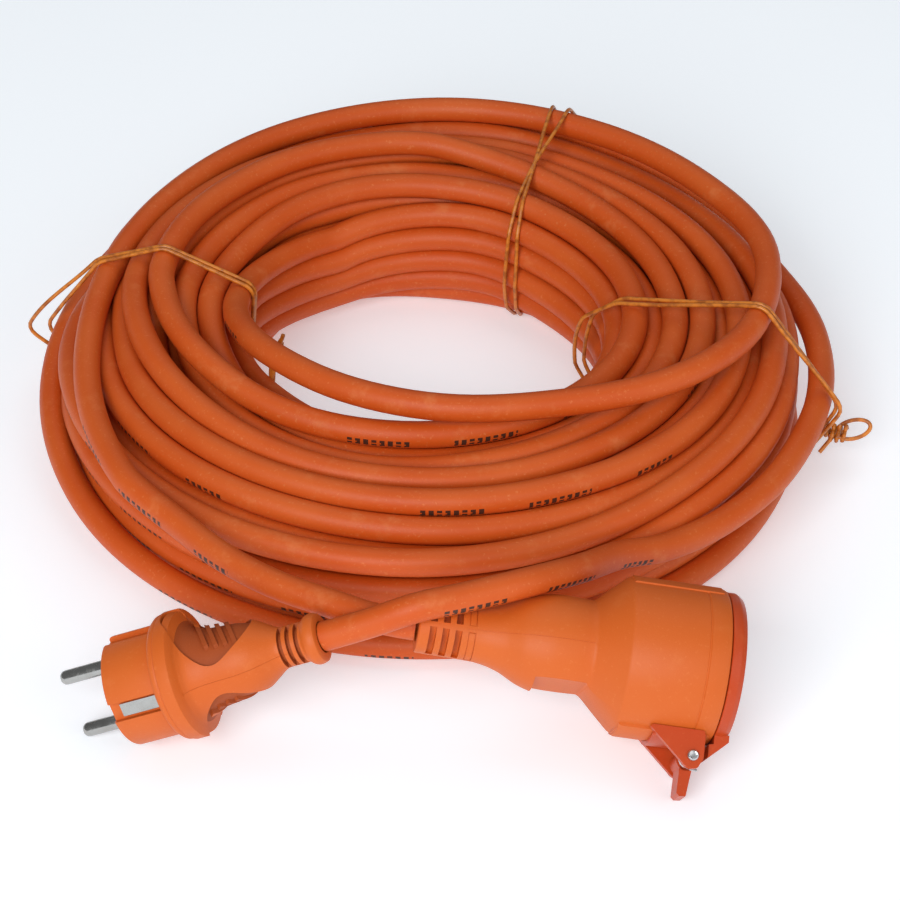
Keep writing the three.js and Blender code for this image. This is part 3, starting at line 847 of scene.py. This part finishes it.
def make_floor():
    bm = bmesh.new()
    bmesh.ops.create_grid(bm, x_segments=1, y_segments=1, size=FLOOR_HALF)
    floor = solid("floor", bm)
    material, tree, shader = new_material("floor_pale")
    place = add(tree, "ShaderNodeTexCoord").outputs["Object"]
    pale = bpy.context.scene.finishes.floor
    tone = spread_range(tree, noise(tree, place, 2.0, 2.0), 0.3, 0.7)
    darker = tuple(0.985 * value for value in pale)
    tree.links.new(blend_colours(tree, tone, (*pale, 1), (*darker, 1)), shader.inputs["Base Color"])
    shader.inputs["Roughness"].default_value = 0.9
    shader.inputs["Emission Color"].default_value = (0.92, 0.96, 1.0, 1)
    shader.inputs["Emission Strength"].default_value = FLOOR_GLOW
    floor.data.materials.append(material)


def make_light(name, place, size, power):
    data = bpy.data.lights.new(name, "AREA")
    data.energy = power
    data.size = size
    light = new_object(name, data)
    light.location = place
    light.rotation_euler = (Vector(place) - COIL_MIDDLE).to_track_quat("Z", "Y").to_euler()


# ---- operators ----


class CORD_OT_stage(bpy.types.Operator):
    """Make the camera, the floor and the lights"""

    bl_idname = "cord.stage"
    bl_label = "Stage"

    def execute(self, context):
        make_camera()
        make_floor()
        for name, values in LIGHTS.items():
            make_light(name, *values)
        world = bpy.data.worlds.new("world")
        world.use_nodes = True
        background = world.node_tree.nodes["Background"]
        background.inputs["Color"].default_value = WORLD_COLOUR
        background.inputs["Strength"].default_value = WORLD_STRENGTH
        context.scene.world = world
        context.scene.view_settings.view_transform = "Standard"
        return {"FINISHED"}


class CORD_OT_cable(bpy.types.Operator):
    """Make the cable: its coil of turns and the leads to the plug and the coupler"""

    bl_idname = "cord.cable"
    bl_label = "Cable"

    def execute(self, context):
        sizes = context.scene.cable_sizes
        course = cable_course()
        COURSE.append(course)
        cable = tube("cable", course, sizes.diameter / 2, sizes.sides)
        cable.data.materials.append(MATERIALS["cable_rubber"])
        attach(cable, "root")
        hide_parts("cable_coil", "plug_lead", "socket_lead")
        return {"FINISHED"}


def hull_loop(start, across, aside, clearance):
    """A taut loop round all the turns on an upright plane, as (distance, height) points in metres."""
    local = COURSE[0] - np.array(COIL_MIDDLE)
    flat = local[:, :2] - start
    distance = flat @ across
    near = (np.abs(flat @ aside) < 0.0045) & (distance > -0.025) & (distance < 0.1)
    centres = np.stack([distance[near], local[near, 2]], axis=1)
    reach = bpy.context.scene.cable_sizes.diameter / 2 + clearance
    rim = np.radians(np.arange(0, 360, 12))
    disc = reach * np.stack([np.cos(rim), np.sin(rim)], axis=1)
    loop = convex_hull((centres[:, None, :] + disc[None]).reshape(-1, 2))
    loop[:, 1] = np.maximum(loop[:, 1], clearance + 0.0002)
    return spread_along(np.vstack([loop, loop[:1]]), HULL_POINTS, endpoint=False)


def convex_hull(points):
    """The outline that a tight string round the points would take."""
    ordered = sorted(map(tuple, points))

    def half(sequence):
        chain = []
        for p in sequence:
            while len(chain) > 1 and cross(chain[-2], chain[-1], p) <= 0:
                chain.pop()
            chain.append(p)
        return chain[:-1]

    return np.array(half(ordered) + half(ordered[::-1]))


def cross(o, a, b):
    """Above zero where the way from o by a to b turns to the left."""
    return (a[0] - o[0]) * (b[1] - o[1]) - (a[1] - o[1]) * (b[0] - o[0])


def tie_strand(tie, shift, swing=0.0, slack=0.0, sag=0.0, inner_slack=0.0):
    """One strand of a tie. shift moves it along the cable and swing crosses it over. On the coil's outside,
    slack lets it bag out and sag lets it fall aside. In the eye, inner_slack lets it bag."""
    sizes = bpy.context.scene.tie_sizes
    start, end = (np.array(p) for p in TIE_LINES[tie])
    across = (end - start) / np.linalg.norm(end - start)
    aside = np.array([-across[1], across[0]])
    loop = hull_loop(start, across, aside, sizes.thickness * 0.5 + 0.0001)
    middle = (loop.min(axis=0) + loop.max(axis=0)) / 2
    out = np.arctan2(loop[:, 1] - middle[1], loop[:, 0] - middle[0])
    bag = np.exp(-((out / 0.6) ** 2))
    inner_bag = np.exp(-(((np.abs(out) - math.pi) / 0.5) ** 2))
    distance = loop[:, 0] + slack * bag - inner_slack * inner_bag
    sideways = shift * (1 + 0.25 * np.sin(3 * out)) + swing * np.cos(out) + sag * bag
    flat = start + distance[:, None] * across + sideways[:, None] * aside
    points = np.column_stack([flat, loop[:, 1]]) + np.array(COIL_MIDDLE)
    return tube("strand", points, sizes.thickness / 2, STRAND_SIDES, cyclic=True)


def joined(name, pieces):
    """One piece made of the given ones, which are used up."""
    bm = bmesh.new()
    for piece in pieces:
        bm.from_mesh(piece.data)
        bpy.data.objects.remove(piece)
    result = solid(name, bm)
    result.data.shade_smooth()
    return result


def tie_knot(centre, out, size, thickness):
    """A small overhand knot: a few tight turns about a line that points out."""
    t = np.linspace(0, 1, 90)
    turns = t * 2 * math.pi * KNOT_TURNS
    side = np.cross(out, [0, 0, 1])
    side = side / np.linalg.norm(side)
    up = np.cross(side, out)
    wobble = size * (0.75 + 0.25 * np.sin(5 * turns))
    points = (
        centre + np.outer((t - 0.5) * size * 2.4, out) + np.outer(wobble * np.cos(turns), side)
        + np.outer(wobble * np.sin(turns), up)
    )
    return tube("knot", points, thickness / 2, STRAND_SIDES)


class CORD_OT_ties(bpy.types.Operator):
    """Make the three ties, each of two strands, and their knot and tails"""

    bl_idname = "cord.ties"
    bl_label = "Ties"

    def execute(self, context):
        sizes = context.scene.tie_sizes
        for name, strands in TIE_STRANDS.items():
            pieces = [tie_strand(name, **looseness) for looseness in strands]
            if name == "tie_right":
                pieces += self.knot_and_loop(sizes.thickness)
            if name == "tie_left":
                pieces += self.tails(sizes.thickness)
            tie = joined(name + "_strands", pieces)
            tie.data.materials.append(MATERIALS["tie_plastic"])
            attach(tie, "root")
            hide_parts(name)
        return {"FINISHED"}

    def knot_and_loop(self, thickness):
        middle = np.array(COIL_MIDDLE)
        turn = math.radians(TIE_ANGLES["tie_right"])
        out = np.array([math.cos(turn), math.sin(turn), 0.0])
        knot_at = middle + out * KNOT_REACH + np.array(KNOT_SHIFT)
        t = np.linspace(0, 2 * math.pi, 40)
        forward = np.array([0.98, 0.05, 0.18])
        loop = (
            knot_at + np.outer(0.0062 * (1 - np.cos(t)), forward)
            + np.outer(0.0034 * np.sin(t), [0, 0.7, 0.7])
        )
        tail = knot_at + np.outer(np.linspace(0, 1, 12), [-0.006, -0.004, -0.006])
        knot = tie_knot(knot_at, out, bpy.context.scene.tie_sizes.knot, thickness)
        return [knot, *(tube("end", line, thickness / 2, STRAND_SIDES) for line in (loop, tail))]

    def tails(self, thickness):
        base = np.array(COIL_MIDDLE) + np.array(TAILS_FOOT)
        t = np.linspace(0, 1, 16)
        pieces = []
        for k in range(3):
            angle = 2.1 * k
            sway = 0.0011 * np.array([math.cos(angle), math.sin(angle), 0])
            rise = [0.0050, 0.0040, 0.025 - 0.002 * k]
            points = base + np.outer(t, rise) + np.outer(np.cos(6 * t + angle), sway)
            pieces.append(tube("tail", points, thickness / 2, STRAND_SIDES))
        return pieces


PLUG_OUTLINE_FRONT = [(0, 0), (0, 16.9), (-0.3, 17.5), (-0.9, 17.8), (-17, 17.8)]
PLUG_OUTLINE_FLANGE = [
    (-17, 18.9), (-17.3, 19.6), (-18, 20.15), (-19.1, 20.35), (-19.5, 20.2), (-19.8, 20.6), (-20.1, 20.7),
    (-23.9, 20.7), (-24.1, 20.45), (-25.1, 18.0),
]
PLUG_OUTLINE_GRIP = flowing([
    (-25.4, 17.2), (-26.6, 15.6), (-28.4, 14.6), (-31.5, 13.7), (-35, 13.3), (-42, 12.7), (-47, 11.2),
    (-51, 8.9), (-53.6, 7.3), (-55.4, 6.6), (-58, 6.5),
])
PLUG_OUTLINE_RING = [(-63, 6.5)] + flowing(
    [(-63.6, 6.7), (-64.4, 7.5), (-65.6, 8.1), (-67, 8.1), (-68.2, 7.7)], 3
)
PLUG_OUTLINE_REAR = [(-68.6, 7.0), (-68.6, 0)]
PLUG_OUTLINE = (
    PLUG_OUTLINE_FRONT + PLUG_OUTLINE_FLANGE + PLUG_OUTLINE_GRIP + PLUG_OUTLINE_RING + PLUG_OUTLINE_REAR
)
PLUG_CAVITY = [
    (1, 0), (1, 14.1), (-26, 14.1), (-26, 12.6), (-33, 10.8), (-46, 5.6), (-52, 4), (-64, 4), (-64, 5.05),
    (-69.6, 5.05), (-69.6, 0),
]
RECESS_FLOOR = [
    (-22, 0), (-22, 20.2), (-24.3, 19.6), (-25.2, 16.3), (-26.1, 14.7), (-27.5, 13.6), (-29, 13),
    (-33, 12), (-42, 11.3), (-47, 10), (-51, 8), (-51, 0),
]
RECESS_MATT = (-62.9, -24.9)  # where the recesses and slots are
RECESS_MATT_DEPTH = 0.3
RECESS_RIB_TOPS = [(-22, 0), (-22, 20.6), (-27.2, 15.4), (-31.5, 13.2), (-42, 12.2), (-50, 9), (-50, 0)]


def parting_line(outline, angle):
    """The tool that scores a fine line along a turned shape on two opposite sides."""
    depth, half = 0.14, 0.09
    turn = Matrix.Rotation(math.radians(angle), 4, "X")
    cutter = solid("line", block(outline[-1][0], outline[0][0], -30, 30, -half, half, turn))
    core = [(outline[0][0] + 1, 0), *((x, r - depth) for x, r in outline), (outline[-1][0] - 1, 0)]
    return cut(cutter, spun(core))


def finger_recess(side):
    """The tool that cuts an oval finger recess and leaves four slanted ribs in it."""
    tool = solid("recess", oval_column(-34.5, 13.5, 12.3, 0, 25))
    cut(tool, spun(RECESS_FLOOR, COARSE))
    for x in (-31, -34.2, -37.4, -40.6):
        lean = Matrix.Translation((x * MM, 0, 0)) @ Matrix.Rotation(math.radians(24), 4, "Z")
        rib = solid("rib", block(-0.7, 0.7, -8.6, 8.6, 0, 30, lean))
        combine(rib, "INTERSECT", spun(RECESS_RIB_TOPS, COARSE))
        cut(tool, rib)
    if side < 0:
        tool.data.transform(Matrix.Rotation(math.pi, 4, "X"))
    return tool


class CORD_OT_plug(bpy.types.Operator):
    """Make the plug's body, pins and earth strap"""

    bl_idname = "cord.plug"
    bl_label = "Plug"

    def execute(self, context):
        place = plug_place()
        body = solid("plug_shell", spun(PLUG_OUTLINE))
        cut(body, spun(PLUG_CAVITY, COARSE))
        for side in (-1, 1):
            self.cut_one_side(body, side)
        cut(body, parting_line(PLUG_OUTLINE_GRIP, 0))
        finished(body, place, "housing_rubber", "root", "plug_body")
        self.make_recess_matt(body, place)
        self.make_pins(place)
        self.make_strap(place)
        return {"FINISHED"}

    def make_recess_matt(self, body, place):
        """The faces that lie under the grip's outline, in the recesses and slots, get the darker, rougher
        recess rubber.
        """
        body.data.materials.append(MATERIALS["recess_rubber"])
        outline = [*PLUG_OUTLINE_GRIP, *PLUG_OUTLINE_RING[:2]][::-1]
        distances, radii = zip(*outline)
        home = place.inverted()
        for face in body.data.polygons:
            x, y, z = (home @ face.center) / MM
            under = np.interp(x, distances, radii) - math.hypot(y, z)
            if RECESS_MATT[0] < x < RECESS_MATT[1] and under > RECESS_MATT_DEPTH:
                face.material_index = 1

    def cut_one_side(self, body, side):
        """Cuts the front's channels, the strap's way out, and a finger recess with the slots behind it."""
        cut(body, block(-16.8, 1, *mirrored(side, 15.4, 25), -3.1, 3.1))
        cut(body, block(-16.8, 1, -3.2, 3.2, *mirrored(side, 15.8, 25)))
        cut(body, block(-19.5, -16, *mirrored(side, 12.8, 16.8), -2.4, 2.4))
        cut(body, finger_recess(side))
        for x in (-56.4, -59.2, -62.0):
            section = [(x - 0.75, 5.0), (x - 0.75, 9), (x + 0.75, 9), (x + 0.75, 5.0)]
            slot = solid("slot", spun(section, COARSE, True))
            turn = Matrix.Rotation(math.radians(18), 4, "X")
            combine(slot, "INTERSECT", block(x - 2, x + 2, *mirrored(side, 1.3, 10), -9, 9, turn))
            cut(body, slot)

    def make_pins(self, place):
        sizes = bpy.context.scene.plug_sizes
        r, reach = sizes.pin_radius / MM, sizes.pin_reach / MM
        outline = [
            (reach, 0), (reach, r - 1.3), (reach - 0.25, r - 0.7), (reach - 0.9, r - 0.2), (reach - 1.8, r),
            (-22, r), (-22.5, 1.9), (-27.5, 1.9), (-27.5, 1.25), (-23.5, 1.25), (-23.5, 0),
        ]
        for side, name in ((1, "plug_pin_left"), (-1, "plug_pin_right")):
            pin = solid(name + "_bright", spun(outline, 48))
            shift = Matrix.Translation((0, 0, side * sizes.pin_offset))
            finished(pin, place @ shift, "nickel_brass", "root", name, edge=0)

    def make_strap(self, place):
        strap = solid("earth_strap_bent", block(-19.2, -18.4, -16.5, 16.5, -2.1, 2.1))
        for side in (-1, 1):
            combine(strap, "UNION", block(-19.2, -3.6, *mirrored(side, 15.7, 16.5), -2.1, 2.1))
        finished(strap, place, "nickel_brass", "root", "plug_earth_strap", edge=0.15)


COUPLER_NECK = flowing([
    (-40.9, 15.8), (-42.5, 15.75), (-46, 16), (-50, 16.1), (-54, 15.9), (-58, 15.1),
    (-62, 13.8), (-65, 12.3), (-68, 10.8), (-72, 9.5), (-76, 8.8), (-80, 8.6),
])
COUPLER_OUTLINE = [
    (0, 0), (0, 24.1), (-0.3, 24.6), (-0.9, 24.9), (-6.4, 24.9), (-6.6, 24.65), (-6.95, 24.65),
    (-7.15, 24.8), (-30.2, 24.8), (-31.3, 24.2), (-40.0, 16.3), *COUPLER_NECK,
    (-94.6, 8.3), (-95, 8.0), (-95, 0),
]
COUPLER_CAVITY = [
    (1, 0), (1, 22.3), (-29.4, 22.3), (-29.4, 14.1), (-37.4, 14.1), (-40.8, 12.3), (-42.2, 10.7),
    (-50, 8.8), (-60, 6.3), (-70, 4), (-90, 4), (-90, 5.05), (-96, 5.05), (-96, 0),
]
COUPLER_RIB = [(-30.2, 23), (-30.2, 25.1), (-29.6, 25.3), (-1.8, 25.3), (-1.8, 23)]
HINGE_PAD = [(-30.2, 20), (-30.2, 25.2), (-29.2, 25.6), (-1.8, 25.6), (-1.8, 20)]


class CORD_OT_coupler(bpy.types.Operator):
    """Make the coupler's housing and its hinge bracket"""

    bl_idname = "cord.coupler"
    bl_label = "Coupler"

    def execute(self, context):
        place = coupler_place()
        shell = solid("socket_shell", spun(COUPLER_OUTLINE))
        rib = solid("rib", spun(COUPLER_RIB, closed=True))
        turn = Matrix.Rotation(math.radians(25), 4, "X")
        combine(rib, "INTERSECT", block(-31, -1, -4.2, 4.2, 20, 27, turn))
        combine(shell, "UNION", rib)
        pad = solid("pad", spun(HINGE_PAD, closed=True))
        combine(pad, "INTERSECT", block(-31, -1, -8.6, 8.6, -27, -20))
        combine(shell, "UNION", pad)
        cut(shell, spun(COUPLER_CAVITY, COARSE))
        underside = [(-57.5, -12.6), (-41.6, -12.6), (-30.6, -23.9), (-30.6, -32), (-57.5, -32)]
        cut(shell, slab(underside, -20, 20))
        cut(shell, parting_line(COUPLER_NECK, 4))
        self.cut_windows(shell)
        finished(shell, place, "housing_rubber", "root", "socket_housing")
        self.make_bracket(place)
        self.make_hinge_pin(place)
        return {"FINISHED"}

    def cut_windows(self, shell):
        """Cuts four rows of three windows, and the shallow outline of a fourth in each row."""
        for x in (-90.6, -86.6, -82.6):
            cut(shell, self.four_segments(x - 1.05, x + 1.05, 4.5, 5.3))
        outline = self.four_segments(-79.6, -77.2, 8.35, 5.4)
        cut(outline, self.four_segments(-79.3, -77.5, 8.0, 5.1))
        cut(shell, outline)

    def four_segments(self, x0, x1, depth, half):
        """Four pieces of a ring about the coupler's axis, each half wide to either side."""
        ring = solid("ring", spun([(x0, depth), (x0, 12), (x1, 12), (x1, depth)], COARSE, True))
        keep = bmesh.new()
        for row in range(4):
            turn = Matrix.Rotation(math.radians(49 + 90 * row), 4, "X")
            part = block(x0 - 1, x1 + 1, -half, half, half + 0.05, 14, turn)
            mesh = bpy.data.meshes.new("part")
            part.to_mesh(mesh)
            part.free()
            keep.from_mesh(mesh)
            bpy.data.meshes.remove(mesh)
        return combine(ring, "INTERSECT", keep)

    def make_bracket(self, place):
        sizes = bpy.context.scene.coupler_sizes
        inner, outer = sizes.ear_inner / MM, (sizes.ear_inner + sizes.ear_thick) / MM
        outline = (
            [(-19.8, -22.6), (-20.6, -23.4)] + arc(HINGE_X, HINGE_Z, 4, 215, 300, 8)
            + [(-3.2, -31.2), (-3.1, -24), (-3.8, -22.6)]
        )
        bracket = solid("hinge_ears", slab(outline, inner, outer))
        combine(bracket, "UNION", slab(outline, -outer, -inner))
        web = solid("web", spun([(-19.4, 25.75), (-19.4, 27), (-11.4, 27), (-11.4, 25.75)], closed=True))
        combine(web, "INTERSECT", block(-21, -10, -inner - 0.5, inner + 0.5, -30, -20))
        combine(bracket, "UNION", web)
        cut(bracket, cross_rod(HINGE_X, HINGE_Z, 1.45, -20, 20))
        cut(bracket, spun([(-25, 0), (-25, 25.1), (2, 25.1), (2, 0)]))
        finished(bracket, place, "lid_plastic", "root", "hinge_bracket", edge=0.35)

    def make_hinge_pin(self, place):
        sizes = bpy.context.scene.coupler_sizes
        outer = (sizes.ear_inner + sizes.ear_thick) / MM
        head = [(0, 0), (0, 1.0), (0.15, 1.35), (0.0, 1.5), (-0.2, 1.7), (-0.8, 1.75), (-0.8, 0)]
        pin = solid("rivet", cross_rod(HINGE_X, HINGE_Z, 1.25, -outer - 0.6, outer + 0.6))
        for side in (-1, 1):
            cap = spun(head, ROD_SIDES)
            turn = Matrix.Rotation(math.radians(90 * side), 4, "Z")
            shift = Matrix.Translation(Vector((HINGE_X, side * (outer + 1.1), HINGE_Z)) * MM)
            bmesh.ops.transform(cap, matrix=shift @ turn, verts=cap.verts)
            combine(pin, "UNION", cap)
        finished(pin, place, "spring_steel", "root", "hinge_pin", edge=0.08)


class CORD_OT_lid(bpy.types.Operator):
    """Make the sprung lid with its arm and thumb lever"""

    bl_idname = "cord.lid"
    bl_label = "Lid"

    def execute(self, context):
        place = coupler_place()
        r = context.scene.coupler_sizes.lid_radius / MM
        lid = solid("lid_cap", spun([
            (0.3, 0), (0.3, r - 0.2), (0.5, r), (3.0, r), (3.5, r - 0.2), (4.9, r - 1.2), (5.0, r - 1.6),
            (5.0, 19), (4.7, 18.6), (4.7, 0),
        ]))
        ring = [(-1, 19.7), (-1, 22.5), (2.2, 22.5), (2.2, 19.7)]
        cut(lid, spun(ring, COARSE, True))
        combine(lid, "UNION", spun([(-1.4, 0), (-1.4, 17), (-1.2, 17.2), (1, 17.2), (1, 0)], COARSE))
        arm_outline = (
            [(5, -22.4), (5, -24.6)] + arc(HINGE_X, HINGE_Z, 3.3, 300, 80, 20)
            + [(-2.2, -26.2), (0.3, -25.7), (0.3, -22.4)]
        )
        arm = solid("arm", slab(arm_outline, -7.6, 7.6))
        cut(arm, block(-14, -1.2, -9, -2.2, -36, -26))
        combine(lid, "UNION", arm)
        lever = slab([(-8.7, -32), (-9.0, -41.4), (-8, -42.3), (-6, -42.1), (-4.6, -32)], -2.2, 6.6)
        combine(lid, "UNION", lever)
        cut(lid, cross_rod(HINGE_X, HINGE_Z, 1.55, -20, 20))
        finished(lid, place, "lid_plastic", "lid", "lid", edge=0.25)
        return {"FINISHED"}


class CORD_OT_insides(bpy.types.Operator):
    """Give the frame's own nodes, such as the contacts and the spring, their materials"""

    bl_idname = "cord.insides"
    bl_label = "Insides"

    def execute(self, context):
        for row in frame["record"]["subparts"]:
            piece = frame["nodes"][row["node"]]
            piece.data.materials.clear()
            piece.data.materials.append(MATERIALS[row["material_slot"]])
        return {"FINISHED"}


class CORD_PT_pieces(bpy.types.Panel):
    """Lists the pieces of the cord and the sizes that can be changed"""

    bl_label = "Extension cord"
    bl_idname = "CORD_PT_pieces"
    bl_space_type = "VIEW_3D"
    bl_region_type = "UI"
    bl_category = "Cord"

    def draw(self, context):
        for piece in PIECES:
            self.layout.operator(piece.bl_idname)
        for name in GROUPS:
            box = self.layout.box()
            group = getattr(context.scene, name)
            for key in group.__annotations__:
                box.prop(group, key)


PIECES = (
    CORD_OT_stage, CORD_OT_cable, CORD_OT_ties, CORD_OT_plug, CORD_OT_coupler, CORD_OT_lid,
    CORD_OT_insides,
)
GROUPS = {
    "cable_sizes": CableSizes, "tie_sizes": TieSizes, "plug_sizes": PlugSizes,
    "coupler_sizes": CouplerSizes, "finishes": Finishes,
}
MATERIALS = {}  # filled by main
COURSE = []  # holds the cable's course once the cable is made


def register():
    for group in GROUPS.values():
        bpy.utils.register_class(group)
    for piece in (*PIECES, CORD_PT_pieces):
        bpy.utils.register_class(piece)
    for name, group in GROUPS.items():
        setattr(bpy.types.Scene, name, PointerProperty(type=group))


def unregister():
    for name in GROUPS:
        delattr(bpy.types.Scene, name)
    for piece in (CORD_PT_pieces, *PIECES[::-1]):
        bpy.utils.unregister_class(piece)
    for group in GROUPS.values():
        bpy.utils.unregister_class(group)


def main():
    register()
    MATERIALS.update(make_materials())
    bpy.ops.cord.stage()
    bpy.ops.cord.cable()
    bpy.ops.cord.ties()
    bpy.ops.cord.plug()
    bpy.ops.cord.coupler()
    bpy.ops.cord.lid()
    bpy.ops.cord.insides()


if __name__ == "__main__":
    main()
